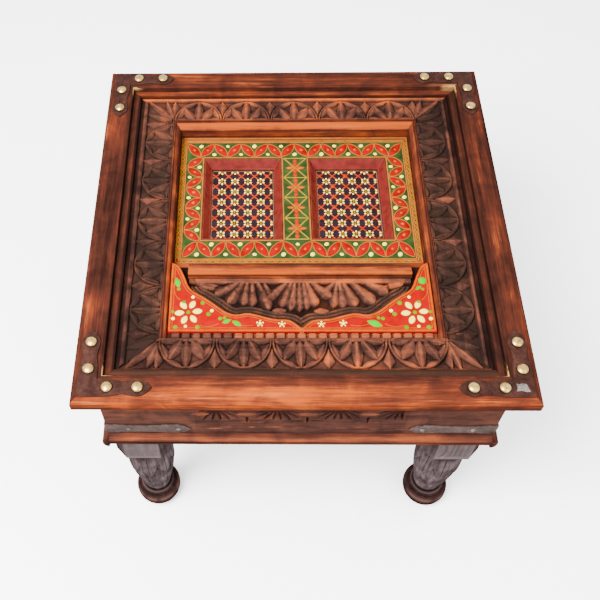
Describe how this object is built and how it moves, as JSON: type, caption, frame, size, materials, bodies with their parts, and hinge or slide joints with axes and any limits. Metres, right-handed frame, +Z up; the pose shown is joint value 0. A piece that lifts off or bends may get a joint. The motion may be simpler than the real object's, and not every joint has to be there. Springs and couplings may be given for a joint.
{
  "type": "coffee table",
  "caption": "Low square wooden table with a sunk carved border, a painted panel with blind windows, a scalloped board, iron corner straps and turned legs, for standing things on.",
  "frame": {"origin": "on the floor, under the middle of the table", "axes": "+Z up, front of the table toward -Y, +X to the right seen from the front"},
  "size_m": [0.61, 0.61, 0.5076],
  "materials": {
    "rail_wood": "orange-brown stained wood, waxed, worn at the edges",
    "carved_wood": "dark stained carved wood, rubbed on the high edges",
    "apron_wood": "red-brown stained wood, waxed",
    "leg_wood": "dark grey-brown stained wood",
    "bare_wood": "plain wood, unfinished",
    "iron": "dark iron strap, dull with bare patches",
    "brass": "polished brass",
    "green_paint": "wood with gloss green paint and a painted border",
    "maroon_paint": "wood with gloss maroon paint",
    "navy_paint": "wood with dark blue paint and a painted lattice",
    "red_paint": "wood with gloss red paint and painted flowers"
  },
  "bodies": {
    "root": {"apron_back": "apron_wood", "apron_front": "apron_wood", "apron_left": "apron_wood", "apron_right": "apron_wood", "apron_strap_back_left": "iron", "apron_strap_back_right": "iron", "apron_strap_front_left": "iron", "apron_strap_front_right": "iron", "base_moulding_back": "rail_wood", "base_moulding_front": "rail_wood", "base_moulding_left": "rail_wood", "base_moulding_right": "rail_wood", "brass_nail_back_left_1": "brass", "brass_nail_back_left_2": "brass", "brass_nail_back_left_3": "brass", "brass_nail_back_left_4": "brass", "brass_nail_back_right_1": "brass", "brass_nail_back_right_2": "brass", "brass_nail_back_right_3": "brass", "brass_nail_back_right_4": "brass", "brass_nail_front_left_1": "brass", "brass_nail_front_left_2": "brass", "brass_nail_front_left_3": "brass", "brass_nail_front_left_4": "brass", "brass_nail_front_right_1": "brass", "brass_nail_front_right_2": "brass", "brass_nail_front_right_3": "brass", "brass_nail_front_right_4": "brass", "carved_frame_back": "carved_wood", "carved_frame_front": "carved_wood", "carved_frame_left": "carved_wood", "carved_frame_right": "carved_wood", "corner_strap_back_left": "iron", "corner_strap_back_right": "iron", "corner_strap_front_left": "iron", "corner_strap_front_right": "iron", "dentil_strip": "carved_wood", "fan_panel": "carved_wood", "inner_moulding_back": "rail_wood", "inner_moulding_left": "rail_wood", "inner_moulding_right": "rail_wood", "leg_back_left": "leg_wood", "leg_back_right": "leg_wood", "leg_front_left": "leg_wood", "leg_front_right": "leg_wood", "painted_panel": "green_paint", "scalloped_board": "red_paint", "sill_moulding": "rail_wood", "top_rail_back": "rail_wood", "top_rail_front": "rail_wood", "top_rail_left": "rail_wood", "top_rail_right": "rail_wood", "tray_bottom": "bare_wood", "window_lattice_left": "navy_paint", "window_lattice_right": "navy_paint", "window_reveal_left": "maroon_paint", "window_reveal_right": "maroon_paint"}
  },
  "joints": []
}
